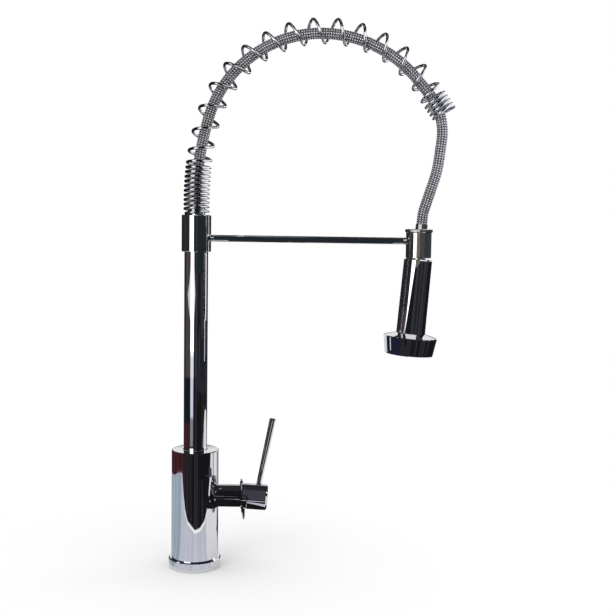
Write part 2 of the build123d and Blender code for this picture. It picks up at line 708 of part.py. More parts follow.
def diverter_core():
    """Plastic body over the spray plate that sends the water to the jet or to the nozzles."""
    outer = plate_radius() - 2
    low = plate_top() + FIT
    core = turned((2.5, low + 2), (WATERWAY_RADIUS + 3, low + 2), (WATERWAY_RADIUS + 3, low),
                  (outer, low), (outer, low + 4), (WATERWAY_RADIUS + 5, low + 6),
                  (WATERWAY_RADIUS + 5, bell_top() - 4.5), (2.5, bell_top() - 4.5))
    return on_head(core)


def spray_plate():
    """Round face plate with a hole for every nozzle and for the aerator, and the selector's pivot groove."""
    low = bell_top() - BELL_HEIGHT + PLATE_RECESS
    plate = rod(plate_radius(), bell_floor() + FIT, plate_top())
    plate += rod(selector_bore() - FIT, low, plate_top())
    plate -= rod(AERATOR_RADIUS + FIT, low - 1, plate_top() + 1)
    for radius, count in NOZZLE_RINGS:
        for place in nozzle_places(radius, count):
            plate -= rod(NOZZLE_RADIUS, low - 1, plate_top() + 1, x=place[0], y=place[1])
    return on_head(plate)


def nozzle_places(radius, count):
    """Centres of one circle of nozzles."""
    return [(radius * cos(2 * pi * k / count), radius * sin(2 * pi * k / count)) for k in range(count)]


def nozzles():
    """Soft nozzle tips, one in every hole of the plate."""
    low = bell_top() - BELL_HEIGHT + PLATE_RECESS
    tips = []
    for radius, count in NOZZLE_RINGS:
        for x, y in nozzle_places(radius, count):
            tip = rod(NOZZLE_RADIUS - FIT, low - NOZZLE_LENGTH, plate_top(), x=x, y=y)
            tips.append(on_head(tip - rod(0.4, low - NOZZLE_LENGTH - 1, plate_top() + 1, x=x, y=y)))
    return Compound(children=tips)


def aerator():
    """Jet insert in the plate's middle."""
    low = bell_top() - BELL_HEIGHT + PLATE_RECESS
    body = rod(AERATOR_RADIUS, low - NOZZLE_LENGTH / 2, plate_top())
    for k in range(6):
        x, y = nozzle_places(AERATOR_RADIUS * 0.6, 6)[k]
        body -= rod(1.2, low - NOZZLE_LENGTH, plate_top() + 1, x=x, y=y)
    return on_head(body)


def selector_bore():
    """Inside of the turning selector ring."""
    return BELL_BOTTOM - 3.2


def selector_ring():
    """Ring at the bell's lower edge, turned to choose jet or spray."""
    top = bell_floor() - FACE_GAP
    low = bell_top() - BELL_HEIGHT
    share = (bell_top() - top) / BELL_HEIGHT
    upper = BELL_RIM - (BELL_RIM - BELL_BOTTOM) * share
    ring = turned((selector_bore(), low), (BELL_BOTTOM - 0.5, low), (BELL_BOTTOM, low + 0.5),
                  (upper, top), (selector_bore(), top))
    return on_head(ring)


# ---------------------------------------------------------------- the side valve
def valve_housing():
    """Chromed tube that stands out of the body and holds the cartridge."""
    tube = on_valve(pipe(HOUSING_RADIUS, HOUSING_BORE, CARTRIDGE_START, HOUSING_END))
    return tube


def cartridge_seal():
    """Rubber ring under the cartridge's base."""
    return on_valve(pipe(HOUSING_BORE - 1, HOUSING_BORE - 2.4, CARTRIDGE_START, CARTRIDGE_START + 1.5))


def cartridge_body():
    """Plastic case of the mixing cartridge, with three ports in its base."""
    start = CARTRIDGE_START + 1.5 + FIT
    base_end = FIXED_DISC_X - FIT
    inner = CARTRIDGE_RADIUS - CARTRIDGE_WALL
    case = turned((0, start), (CARTRIDGE_RADIUS, start), (CARTRIDGE_RADIUS, NUT_START - FIT),
                  (inner + 0.6, NUT_START - FIT), (inner + 0.6, CARTRIDGE_END), (GUIDE_NOSE_RADIUS + 2.4, CARTRIDGE_END),
                  (GUIDE_NOSE_RADIUS + 2.4, CARTRIDGE_END - 1.5), (inner - 0.6, CARTRIDGE_END - 1.5),
                  (inner - 0.6, base_end), (0, base_end))
    case = on_valve(case)
    return case - ports(CARTRIDGE_START, FIXED_DISC_X + 1)


def ports(start, end):
    """The cartridge's three water ports as bars: hot, cold and mixed."""
    radius = CHANNEL_RADIUS - 0.5
    inlets = [long_bar(radius, start, end, y=side * PORT_OFFSET, z=VALVE_Z - PORT_DROP) for side in (-1, 1)]
    return inlets[0] + inlets[1] + long_bar(radius, start, end, z=VALVE_Z + PORT_OFFSET)


def cartridge_nut():
    """Threaded brass ring that clamps the cartridge in the housing."""
    inner = CARTRIDGE_RADIUS - CARTRIDGE_WALL + 0.6 + FIT
    return on_valve(pipe(HOUSING_BORE - FIT, inner, NUT_START, HOUSING_END - 1.5))


def fixed_disc():
    """Ceramic disc that stays in the case."""
    radius = CARTRIDGE_RADIUS - CARTRIDGE_WALL - 0.6 - FIT
    end = FIXED_DISC_X + DISC_THICKNESS
    return on_valve(rod(radius, FIXED_DISC_X, end)) - ports(FIXED_DISC_X - 1, end + 1)


def ball_lift():
    """How far the resting handle holds the stem's ball off the valve's axis."""
    return STEM_TAIL * sin(radians(HANDLE_REST_TILT))


def sliding_disc():
    """Ceramic disc that the handle slides across the fixed one."""
    start = FIXED_DISC_X + DISC_THICKNESS + FACE_GAP
    return Pos(0, 0, ball_lift()) * on_valve(rod(SLIDER_RADIUS, start, start + DISC_THICKNESS))


def disc_carrier():
    """Plastic cup on the sliding disc that the stem's ball pushes."""
    start = FIXED_DISC_X + 2 * DISC_THICKNESS + FACE_GAP + FIT
    end = start + CARRIER_THICKNESS
    cup = rod(SLIDER_RADIUS, start, end) - rod(BALL_RADIUS + FREE_GAP, start + 0.8, end + 1)
    return Pos(0, 0, ball_lift()) * on_valve(cup)


def stem_guide():
    """Turning plastic guide that carries the stem's pivot pin."""
    start = FIXED_DISC_X + 2 * DISC_THICKNESS + FACE_GAP + FIT + CARRIER_THICKNESS + FREE_GAP
    wide = CARTRIDGE_RADIUS - CARTRIDGE_WALL - 0.6 - FIT
    end = PIVOT_X + PIVOT_PIN_RADIUS + 2
    guide = turned((0, start), (wide, start), (wide, CARTRIDGE_END - 1.5 - FACE_GAP),
                   (GUIDE_NOSE_RADIUS, CARTRIDGE_END - 1.5 - FACE_GAP), (GUIDE_NOSE_RADIUS, end), (0, end))
    slot_half = tan(radians(HANDLE_OPEN_TILT + HANDLE_REST_TILT)) * (PIVOT_X - start) + STEM_WIDTH / 2 + 1
    guide = on_valve(guide)
    guide -= Pos(PIVOT_X - 10, 0, VALVE_Z) * Box(40, STEM_WIDTH + 2 * FREE_GAP, 2 * slot_half)
    return guide - cross_bar(PIVOT_PIN_RADIUS + FIT, -20, 20, x=PIVOT_X, z=VALVE_Z)


def pivot_pin():
    """Steel pin through the guide and the stem."""
    return cross_bar(PIVOT_PIN_RADIUS, -GUIDE_NOSE_RADIUS, GUIDE_NOSE_RADIUS, x=PIVOT_X, z=VALVE_Z)


# ---------------------------------------------------------------- the handle
def valve_stem():
    """Square brass stem with a ball at its tail."""
    shaft = Pos(0, 0, (STEM_REACH - STEM_TAIL + 3) / 2) * Box(STEM_WIDTH, STEM_WIDTH, STEM_REACH + STEM_TAIL - 3)
    neck = rod(1.6, -STEM_TAIL, -STEM_TAIL + 4)
    ball = Pos(0, 0, -STEM_TAIL) * Sphere(BALL_RADIUS)
    pin = cross_bar(PIVOT_PIN_RADIUS + FIT, -10, 10)
    return on_handle(shaft + neck + ball - pin)


def handle_cap():
    """Chromed cap over the stem, with a square socket inside and a seat for the lever."""
    cap = turned((0, CAP_LENGTH), (CAP_RADIUS - 3 * CAP_EDGE, CAP_LENGTH), (CAP_RADIUS, CAP_LENGTH - 2 * CAP_EDGE),
                 (CAP_RADIUS, 0), (CAP_MOUTH, 0), (CAP_MOUTH, CAP_MOUTH_DEPTH), (STEM_WIDTH, CAP_MOUTH_DEPTH),
                 (STEM_WIDTH, STEM_REACH - 7), (0, STEM_REACH - 7))
    half = STEM_WIDTH + 2 * FIT
    cap -= Pos(0, 0, STEM_REACH / 2 + FIT) * Box(half, half, STEM_REACH)
    cap = on_handle(cap) - lever_shape(FIT, FIT)
    return cap - on_handle(screw_bar(FIT, CAP_RADIUS + 1))


def lever_shape(extra, deep):
    """The pin lever, seated in the cap's top."""
    base = LEVER_BASE_DIAMETER / 2 + extra
    top = LEVER_TOP_DIAMETER / 2 + extra
    start = CAP_RADIUS - LEVER_SEAT - deep
    shaft = turned((0, start), (base, start), (base, CAP_RADIUS + 1), (top, CAP_RADIUS + LEVER_LENGTH - 0.6),
                   (top - 0.6, CAP_RADIUS + LEVER_LENGTH), (0, CAP_RADIUS + LEVER_LENGTH))
    return on_handle(Pos(0, 0, LEVER_BASE_X) * Rot(0, -90 + LEVER_LEAN, 0) * shaft)


def screw_bar(extra, end):
    """Bar of the handle's grub screw, from the cap's underside to the stem."""
    start = STEM_WIDTH / 2 + FIT
    return Pos(0, 0, STEM_REACH - 3) * long_bar(HANDLE_SCREW_RADIUS + extra, start, end)


def handle_screw():
    """Grub screw that clamps the cap on the stem, from below."""
    bar = screw_bar(0, CAP_RADIUS - 0.8)
    socket = Pos(0, 0, STEM_REACH - 3) * long_bar(0.9, CAP_RADIUS - 3, CAP_RADIUS)
    return on_handle(bar - socket)


def trim_disc():
    """Thin disc on the cap's mouth, seated askew and low."""
    disc = Pos(TRIM_DISC_DROP, 0, TRIM_DISC_X) * Rot(0, -TRIM_DISC_SKEW, 0) * Cylinder(
        TRIM_DISC_DIAMETER / 2, TRIM_DISC_THICKNESS)
    return on_handle(disc - rod(CAP_RADIUS + FIT, -20, 20))


# ---------------------------------------------------------------- everything
def main():
    """Build and write every node."""
    os.makedirs("parts", exist_ok=True)
    spring, wire_line = arch_spring()
    print(f"spring: turns {len(coil_pitches())}, length of wire {wire_line.length:.0f}, "
          f"volume {spring.volume:.0f}, section x length {pi * WIRE ** 2 / 4 * wire_line.length:.0f}")
    print(f"spring: least gap to itself {least_gap(wire_line):.2f}, along the arch {spring_length():.1f}")
    save("arch_spring", spring)
    for piece in (base_flange, base_gasket, valve_body, inlet_manifold, swivel_bush, thrust_washer,
                  swivel_screw, column_spigot, swivel_o_rings, column_tube, column_head, column_collar,
                  collar_screw, spring_seat, support_rod, holder_ring, holder_liner, hose,
                  hose_lower_ferrule, hose_upper_ferrule, hose_nut, hose_washer,
                  spray_handle, check_valve, waterway, spray_bell, bell_seal, diverter_core, spray_plate,
                  nozzles, aerator, selector_ring, valve_housing, cartridge_seal, cartridge_body,
                  cartridge_nut, fixed_disc, sliding_disc, disc_carrier, stem_guide, pivot_pin,
                  valve_stem, handle_cap, handle_screw, trim_disc):
        save(piece.__name__, piece())
    save("handle_lever", lever_shape(0, 0))


main()
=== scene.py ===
"""Kitchen mixer with a spring arch and a pull-down spray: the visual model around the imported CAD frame.

Lengths are in millimetres, and azimuths in degrees, unless a comment says otherwise.
"""
from math import cos, pi, radians, sin

import bpy
from mathutils import Matrix, Vector


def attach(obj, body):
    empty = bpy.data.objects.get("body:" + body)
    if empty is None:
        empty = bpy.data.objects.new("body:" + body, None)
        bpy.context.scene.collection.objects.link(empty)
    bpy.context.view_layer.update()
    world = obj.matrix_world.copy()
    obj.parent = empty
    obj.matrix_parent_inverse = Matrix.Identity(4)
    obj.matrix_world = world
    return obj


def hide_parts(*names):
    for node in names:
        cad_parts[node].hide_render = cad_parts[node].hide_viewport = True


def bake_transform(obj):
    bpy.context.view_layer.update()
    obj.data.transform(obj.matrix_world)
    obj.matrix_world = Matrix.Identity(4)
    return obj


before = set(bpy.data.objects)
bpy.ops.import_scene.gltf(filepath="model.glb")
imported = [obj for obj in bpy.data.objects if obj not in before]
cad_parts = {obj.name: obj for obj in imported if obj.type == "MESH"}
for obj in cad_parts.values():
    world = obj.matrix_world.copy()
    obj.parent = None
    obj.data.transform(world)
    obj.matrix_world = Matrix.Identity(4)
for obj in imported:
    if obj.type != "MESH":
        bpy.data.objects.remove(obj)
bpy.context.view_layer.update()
scene = bpy.context.scene
MM = 0.001

# ---------------------------------------------------------------- the arch, as the CAD has it
COLLAR_TOP = 422.7
ARCH_RISE = 18.8
ARCH_LINE = ((336.0, 16.3), (141.5, 127.7))     # radius and clockwise degrees of each arc
ARCH_TAIL = 400.0                               # straight run after the arcs, longer than the spring needs
WIRE = 3.6
WIRE_SIDES = 14
COIL_RADIUS = 13.7
CLOSE_PITCH = 5.23
OPEN_PITCH = 26.7
LOWER_CLOSE_TURNS = 11
OPEN_TURNS = 12
UPPER_CLOSE_TURNS = 4
LOWER_GRADING = (0.49, 0.83)                    # shares of the open pitch, towards the open turns
UPPER_GRADING = (0.93, 0.44)                    # and back towards the close ones
PITCH_LEAN = 0.25                               # share of a turn, at each end, that leans to the next one
TURN_STEPS = 44
FIRST_HEIGHT = WIRE / 2 + 0.1
TANG_RADIUS = 12.46                             # where the wire's foot goes down into the seat
TANG_BEND = 4.5
TANG_STEPS = 4
BEND_STEPS = 8
QUARTER_HANDLE = 0.5523                         # Bezier handle of a quarter circle, as a share of its radius

HEAD_TOP = (262.3, 374.4)                       # x and z of the spray handle's top
HEAD_TILT = 4.53
HOSE_START = 418.0
HOSE_END = 25.0                                 # above the spray handle's top, along its axis
HOSE_BENDS = ((336.0, 16.3), (137.5, 73.7), (146.0, 49.0), (0, 21.0), (72.0, 48.0), (0, 24.0), (113.0, 10.6),
              (0, 35.23), (56.0, -13.07))       # arcs as above; radius 0 is a straight run of a length
SPRING_END_TRAVEL = 455.0                       # along the hose, where it leaves the spring


class Track:
    """A line of arcs and runs in the XZ plane; each part is (radius, clockwise degrees) or (0, length)."""

    def __init__(self, height, rise, parts, tail):
        self.parts = []
        x, z, turn = 0.0, height, 0.0
        for radius, amount in ((0, rise),) + parts + ((0, tail),):
            length = amount if radius == 0 else radius * radians(abs(amount))
            self.parts.append((x, z, turn, radius * (1 if amount >= 0 else -1), length))
            x, z, turn = self.along(self.parts[-1], length)
        self.length = sum(part[4] for part in self.parts)

    @staticmethod
    def along(part, travel):
        x, z, turn, radius, _ = part
        if radius == 0:
            return x + sin(turn) * travel, z + cos(turn) * travel, turn
        after = turn + travel / radius
        return x + radius * (cos(turn) - cos(after)), z + radius * (sin(after) - sin(turn)), after

    def at(self, travel):
        """X, z and the clockwise turn from straight up, in radians, at a length along the line."""
        for part in self.parts[:-1]:
            if travel <= part[4]:
                return self.along(part, travel)
            travel -= part[4]
        return self.along(self.parts[-1], travel)

    def off(self, travel, angle, radius):
        """A point beside the line: angle 0 is the inner side of a clockwise bend, a quarter turn is +Y."""
        x, z, turn = self.at(travel)
        side = radius * cos(angle)
        return Vector((x + side * cos(turn), radius * sin(angle), z - side * sin(turn)))


# ---------------------------------------------------------------- meshes
def mesh_piece(name, points, faces, material, smooth=True):
    mesh = bpy.data.meshes.new(name)
    mesh.from_pydata([tuple(p * MM) for p in points], [], faces)
    mesh.materials.append(material)
    mesh.polygons.foreach_set("use_smooth", [smooth] * len(mesh.polygons))
    mesh.update()
    piece = bpy.data.objects.new(name, mesh)
    scene.collection.objects.link(piece)
    return piece


def keep_values(piece, label, values):
    """One number for each point, which the piece's material reads by its label."""
    store = piece.data.attributes.new(label, "FLOAT", "POINT")
    store.data.foreach_set("value", values)


def skin(rings, first=0):
    """Quads between rings of equal size, with an end face at each end."""
    count = len(rings[0])
    faces = []
    for row in range(len(rings) - 1):
        low, high = first + row * count, first + (row + 1) * count
        for k in range(count):
            after = (k + 1) % count
            faces.append((low + k, low + after, high + after, high + k))
    faces.append(tuple(first + k for k in reversed(range(count))))
    faces.append(tuple(first + (len(rings) - 1) * count + k for k in range(count)))
    return faces


def tube_rings(line, radius, sides):
    """Round rings square to a line of points, carried along it without twist."""
    ways = [(line[min(k + 1, len(line) - 1)] - line[max(k - 1, 0)]).normalized() for k in range(len(line))]
    normal = ways[0].orthogonal().normalized()
    rings = []
    for place, way in zip(line, ways):
        normal = (normal - way * normal.dot(way)).normalized()
        side = way.cross(normal)
        rings.append([place + (normal * cos(2 * pi * k / sides) + side * sin(2 * pi * k / sides)) * radius
                      for k in range(sides)])
    return rings


def tube_piece(name, line, radius, sides, material):
    rings = tube_rings(line, radius, sides)
    return mesh_piece(name, [point for ring in rings for point in ring], skin(rings), material)


def bezier(a, b, c, d, t):
    s = 1 - t
    return a * s ** 3 + b * (3 * s * s * t) + c * (3 * s * t * t) + d * t ** 3


# ---------------------------------------------------------------- the spring
def turn_pitches():
    pitches = [CLOSE_PITCH] * LOWER_CLOSE_TURNS + [share * OPEN_PITCH for share in LOWER_GRADING]
    pitches += [OPEN_PITCH] * OPEN_TURNS + [share * OPEN_PITCH for share in UPPER_GRADING]
    return pitches + [CLOSE_PITCH] * UPPER_CLOSE_TURNS


def coil_stations():
    """Travel along the arch and angle round it, at even steps of every turn."""
    pitches = turn_pitches()
    travel, phase = FIRST_HEIGHT, pi
    stations = []
    for number, pitch in enumerate(pitches):
        before = pitches[max(number - 1, 0)]
        after = pitches[min(number + 1, len(pitches) - 1)]
        for step in range(TURN_STEPS):
            stations.append((travel, phase))
            share = (step + 0.5) / TURN_STEPS
            lean = (before - pitch) * max(0.0, PITCH_LEAN - share)
            lean += (after - pitch) * max(0.0, share - (1 - PITCH_LEAN))
            travel += (pitch + lean) / TURN_STEPS
            phase += 2 * pi / TURN_STEPS
    stations.append((travel, phase))
    return stations


def spring_line():
    """The wire's line: its foot in the seat, the bend out of it, the turns and a short end."""
    arch = Track(COLLAR_TOP, ARCH_RISE, ARCH_LINE, ARCH_TAIL)
    helix = [arch.off(travel, angle, COIL_RADIUS) for travel, angle in coil_stations()]
    start = Vector((-TANG_RADIUS, 0, helix[0].z))
    depths = [TANG_BEND + WIRE * (1 - k / TANG_STEPS) for k in range(TANG_STEPS)]
    foot = [start + Vector((0, TANG_BEND, -depth)) for depth in depths]
    angles = [pi / 2 * k / BEND_STEPS for k in range(BEND_STEPS + 1)]
    bend = [start + Vector((0, TANG_BEND * cos(angle), -TANG_BEND * (1 - sin(angle)))) for angle in angles]

    # the first quarter turn widens from the foot's radius to the coil's
    quarter = TURN_STEPS // 4
    end = helix[quarter]
    way = (helix[quarter + 1] - helix[quarter - 1]).normalized()
    handle = QUARTER_HANDLE * COIL_RADIUS
    widening = [bezier(start, start + Vector((0, -handle, 0)), end - way * handle, end, k / quarter)
                for k in range(1, quarter)]
    last_way = (helix[-1] - helix[-2]).normalized()
    last = [helix[-1] + last_way * WIRE * share for share in (0.5, 1.0)]
    return foot + bend + widening + helix[quarter:] + last


def arch_spring(material):
    spring = tube_piece("spring_wire", spring_line(), WIRE / 2, WIRE_SIDES, material)
    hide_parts("arch_spring")
    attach(spring, "column")


# ---------------------------------------------------------------- the braided hose
CARRIERS = 12                                   # each way round
BRAID_LEAD = 34.0                               # length in which a carrier goes once round
BRAID_MIDDLE = 6.07                             # radius of the weave's middle
BRAID_LIFT = 0.27                               # how far a carrier rises over the others and dips under them
RIBBON_WIDTH = 1.60
RIBBON_THICKNESS = 0.30
RIBBON_SECTION = ((-1.0, -0.5), (-0.55, 0.5), (0.55, 0.5), (1.0, -0.5))    # half widths and thicknesses
HAND_PAINTED_LIGHT = {1: (0.66, 0.50), -1: (0.14, 0.14)}    # middle and swing of the painted light: one family is painted as catching the light, the other in painted shade; the swing paints a highlight where a carrier rises over the others and shade where it dips under
LINER_RADIUS = 5.72
LINER_STEP = 2.5
LINER_SIDES = 24


def hose_track():
    """The hose's line; its last run ends where the hose enters the ferrule over the spray handle."""
    rise = COLLAR_TOP + ARCH_RISE - HOSE_START
    track = Track(HOSE_START, rise, HOSE_BENDS, 0.0)
    x, z, turn = track.at(track.length)
    end_x = HEAD_TOP[0] + HOSE_END * sin(radians(HEAD_TILT))
    end_z = HEAD_TOP[1] + HOSE_END * cos(radians(HEAD_TILT))
    return Track(HOSE_START, rise, HOSE_BENDS, (end_x - x) * sin(turn) + (end_z - z) * cos(turn))


def carrier_ring(track, spot, base, hand):
    """A section of a carrier that winds by hand, 1 or -1, and its height in the weave, from -1 to 1."""
    angle = base + hand * 2 * pi * spot / BRAID_LEAD
    wave = hand * cos(2 * pi * CARRIERS * spot / BRAID_LEAD)
    radius = BRAID_MIDDLE + BRAID_LIFT * wave
    x, z, turn = track.at(spot)
    way = Vector((sin(turn), 0, cos(turn)))
    out = Vector((cos(angle) * cos(turn), sin(angle), -cos(angle) * sin(turn)))
    run = (way + way.cross(out) * (hand * 2 * pi * radius / BRAID_LEAD)).normalized()
    wide = run.cross(out)
    place = Vector((x, 0, z)) + out * radius
    ring = [place + wide * (u * RIBBON_WIDTH / 2) + out * (v * RIBBON_THICKNESS) for u, v in RIBBON_SECTION]
    return ring, wave


def braid(name, track, start, end, material):
    """Two families of flat carriers, one over and one under, from start to end along the hose."""
    points, faces, across, painted_light_values = [], [], [], []
    step = BRAID_LEAD / (4 * CARRIERS)
    count = int((end - start) / step)
    spots = [start + (end - start) * k / count for k in range(count + 1)]
    for hand, (middle, swing) in HAND_PAINTED_LIGHT.items():
        for carrier in range(CARRIERS):
            rings = []
            for spot in spots:
                ring, wave = carrier_ring(track, spot, 2 * pi * carrier / CARRIERS, hand)
                rings.append(ring)
                across += [u for u, _ in RIBBON_SECTION]
                # painted light: a highlight where the carrier rises over the others, shade where it dips
                # under
                painted_light_values += [middle + swing * wave] * len(RIBBON_SECTION)
            faces += skin(rings, first=len(points))
            points += [point for ring in rings for point in ring]
    piece = mesh_piece(name, points, faces, material)
    keep_values(piece, "strand", across)
    keep_values(piece, "tone", painted_light_values)
    return piece


def liner(name, track, start, end, material):
    """The dark tube that shows between the carriers."""
    count = int((end - start) / LINER_STEP)
    line = []
    for k in range(count + 1):
        x, z, _ = track.at(start + (end - start) * k / count)
        line.append(Vector((x, 0, z)))
    piece = tube_piece(name, line, LINER_RADIUS, LINER_SIDES, material)
    return piece


def build_hose(weave, rubber):
    """Two lengths: the one in the spring turns with the column, and the drop, which runs down to the spray
    head, is baked in place.
    """
    track = hose_track()
    for name, start, end in (("in_arch", 0.0, SPRING_END_TRAVEL), ("drop", SPRING_END_TRAVEL, track.length)):
        woven = braid("hose_braid_" + name, track, start, end, weave)
        inner = liner("hose_liner_" + name, track, start, end, rubber)
        if name == "in_arch":
            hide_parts("hose")
            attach(woven, "column")
            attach(inner, "column")
        else:
            for piece in (woven, inner):
                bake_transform(piece)


# ---------------------------------------------------------------- material nodes
def new_material(name):
    material = bpy.data.materials.new(name)
    material.use_nodes = True
    tree = material.node_tree
    return material, tree, tree.nodes["Principled BSDF"]


def link(tree, source, output, target, socket):
    tree.links.new(source.outputs[output], target.inputs[socket])


def place_node(tree):
    for node in tree.nodes:
        if node.type == "TEX_COORD":
            return node
    return tree.nodes.new("ShaderNodeTexCoord")


def attribute(tree, label):
    node = tree.nodes.new("ShaderNodeAttribute")
    node.attribute_name = label
    return node


def noise(tree, scale, detail=3.0, rough=0.5, stretch=None):
    coords = place_node(tree)
    node = tree.nodes.new("ShaderNodeTexNoise")
    node.inputs["Scale"].default_value = scale
    node.inputs["Detail"].default_value = detail
    node.inputs["Roughness"].default_value = rough
    if stretch:
        mapping = tree.nodes.new("ShaderNodeMapping")
        mapping.inputs["Scale"].default_value = stretch
        link(tree, coords, "Object", mapping, "Vector")
        link(tree, mapping, "Vector", node, "Vector")
    else:
        link(tree, coords, "Object", node, "Vector")
    return node


def ramp(tree, source, output, stops):
    node = tree.nodes.new("ShaderNodeValToRGB")
    while len(node.color_ramp.elements) < len(stops):
        node.color_ramp.elements.new(0.5)
    for element, (place, colour) in zip(node.color_ramp.elements, stops):
        element.position = place
        element.color = (*colour, 1.0)
    link(tree, source, output, node, "Fac")
    return node


def span(tree, source, output, low, high, start=0.3, end=0.7):
    """Spreads start to end of a value over low to high; a noise hardly leaves 0.3 to 0.7."""
    node = tree.nodes.new("ShaderNodeMapRange")
    for socket, value in (("From Min", start), ("From Max", end), ("To Min", low), ("To Max", high)):
        node.inputs[socket].default_value = value
    link(tree, source, output, node, "Value")
    return node


def bump(tree, shader, source, output, strength, distance, under=None):
    node = tree.nodes.new("ShaderNodeBump")
    node.inputs["Strength"].default_value = strength
    node.inputs["Distance"].default_value = distance
    link(tree, source, output, node, "Height")
    if under:
        link(tree, under, "Normal", node, "Normal")
    link(tree, node, "Normal", shader, "Normal")
    return node


# ---------------------------------------------------------------- materials
# a bump is (noise scale, strength, distance in metres, stretch)
CHROME_BUMPS = ((14.0, 0.10, 0.0006, None), (260.0, 0.03, 0.0001, None))

# by slot: name, dark and pale colour, roughness from and to, metallic, scale of the drift, bumps
FINISHES = {
    "chrome": ("polished_chrome", (0.63, 0.635, 0.665), (0.69, 0.695, 0.72), (0.02, 0.05), 1.0, 22.0,
               CHROME_BUMPS),
    "chrome_ring": ("worn_chrome", (0.56, 0.55, 0.52), (0.62, 0.61, 0.58), (0.09, 0.15), 1.0, 30.0,
                    CHROME_BUMPS),
    "brass": ("machined_brass", (0.56, 0.40, 0.17), (0.74, 0.57, 0.28), (0.22, 0.36), 1.0, 60.0,
              ((900.0, 0.12, 0.0002, (1.0, 1.0, 6.0)),)),
    "steel": ("brushed_steel", (0.46, 0.46, 0.48), (0.60, 0.60, 0.62), (0.24, 0.38), 1.0, 80.0,
              ((1400.0, 0.10, 0.0001, (1.0, 1.0, 5.0)),)),
    "black_rubber": ("black_rubber", (0.018, 0.018, 0.02), (0.04, 0.04, 0.045), (0.55, 0.75), 0.0, 90.0,
                     ((1500.0, 0.2, 0.0001, None),)),
    "soft_nozzle": ("nozzle_silicone", (0.24, 0.25, 0.27), (0.33, 0.34, 0.36), (0.45, 0.6), 0.0, 150.0,
                    ((2000.0, 0.15, 0.0001, None),)),
    "ceramic": ("valve_ceramic", (0.80, 0.78, 0.73), (0.90, 0.88, 0.84), (0.12, 0.22), 0.0, 70.0,
                ((1800.0, 0.05, 0.0001, None),)),
    "grey_plastic": ("moulded_grey_plastic", (0.20, 0.21, 0.23), (0.27, 0.28, 0.30), (0.36, 0.5), 0.0, 50.0,
                     ((1100.0, 0.12, 0.0001, None),)),
}
SMUDGE_SCALE = 2.7                              # of the roughness noise, against the colour's
WIRES_PER_CARRIER = 3
# the ramp of the braid's painted light, from painted shade to a white painted highlight
BRAID_LIGHT_RAMP = ((0.05, (0.03, 0.03, 0.04)), (0.46, (0.22, 0.225, 0.28)), (0.80, (1.0, 1.0, 1.0)))
# painted shade in the grooves between the wires of each carrier, multiplied over the colour
WIRE_GROOVE_SHADE = ((0.0, (0.45, 0.45, 0.48)), (0.5, (1.0, 1.0, 1.0)))


def surface(name, dark, pale, rough, metallic, scale, bumps):
    """A material whose colour and roughness drift with noises, and whose normal has finer ones."""
    material, tree, shader = new_material(name)
    drift = noise(tree, scale, detail=4.0, rough=0.55)
    tint = ramp(tree, drift, "Fac", ((0.3, dark), (0.7, pale)))
    link(tree, tint, "Color", shader, "Base Color")
    smudge = noise(tree, scale * SMUDGE_SCALE, detail=5.0, rough=0.6)
    gloss = span(tree, smudge, "Fac", *rough)
    link(tree, gloss, "Result", shader, "Roughness")
    shader.inputs["Metallic"].default_value = metallic
    under = None
    for fine_scale, strength, distance, stretch in bumps:
        grain = noise(tree, fine_scale, stretch=stretch)
        under = bump(tree, shader, grain, "Fac", strength, distance, under)
    return material


def braid_material():
    """Carriers of fine parallel wires, with a painted highlight where they lie on top, painted shade where
    they dip under and painted shade in the grooves between the wires.
    """
    material, tree, shader = new_material("woven_steel_braid")
    strand = attribute(tree, "strand")
    wires = tree.nodes.new("ShaderNodeMath")
    wires.operation = "MULTIPLY"
    wires.inputs[1].default_value = WIRES_PER_CARRIER * 2 * pi
    link(tree, strand, "Fac", wires, 0)
    wave = tree.nodes.new("ShaderNodeMath")
    wave.operation = "COSINE"
    link(tree, wires, "Value", wave, 0)

    # the painted light of each point, with a small random drift of tone
    tone = attribute(tree, "tone")
    drift = span(tree, noise(tree, 140.0, rough=0.6), "Fac", -0.10, 0.10)
    light_and_drift = tree.nodes.new("ShaderNodeMath")
    link(tree, tone, "Fac", light_and_drift, 0)
    link(tree, drift, "Result", light_and_drift, 1)
    tint = ramp(tree, light_and_drift, "Value", BRAID_LIGHT_RAMP)
    # painted shade between the wires
    share = span(tree, wave, "Value", 0.0, 1.0, start=-1.0, end=1.0)
    groove_shade = ramp(tree, share, "Result", WIRE_GROOVE_SHADE)
    mix = tree.nodes.new("ShaderNodeMix")
    mix.data_type = "RGBA"
    mix.blend_type = "MULTIPLY"
    mix.inputs["Factor"].default_value = 1.0
    # the colours are sockets 6 and 7 of the mix node, and its third output
    tree.links.new(tint.outputs["Color"], mix.inputs[6])
    tree.links.new(groove_shade.outputs["Color"], mix.inputs[7])
    tree.links.new(mix.outputs[2], shader.inputs["Base Color"])
    gloss = span(tree, noise(tree, 320.0), "Fac", 0.22, 0.38)
    link(tree, gloss, "Result", shader, "Roughness")
    shader.inputs["Metallic"].default_value = 0.60
    bump(tree, shader, wave, "Value", 0.5, 0.00006)
    return material


def make_materials():
    made = {slot: surface(*finish) for slot, finish in FINISHES.items()}
    made["braided_hose"] = braid_material()
    return made


# ---------------------------------------------------------------- camera
CAMERA_PLACE = (0.1279, -1.2416, 0.4216)        # metres
CAMERA_YAW = 0.229                              # degrees, towards +X
CAMERA_PITCH = 4.93                             # degrees, downwards
CAMERA_ROLL = 0.838                             # degrees, its right side raised
SENSOR_WIDTH = 36.0
FOCAL_LENGTH = 61.36


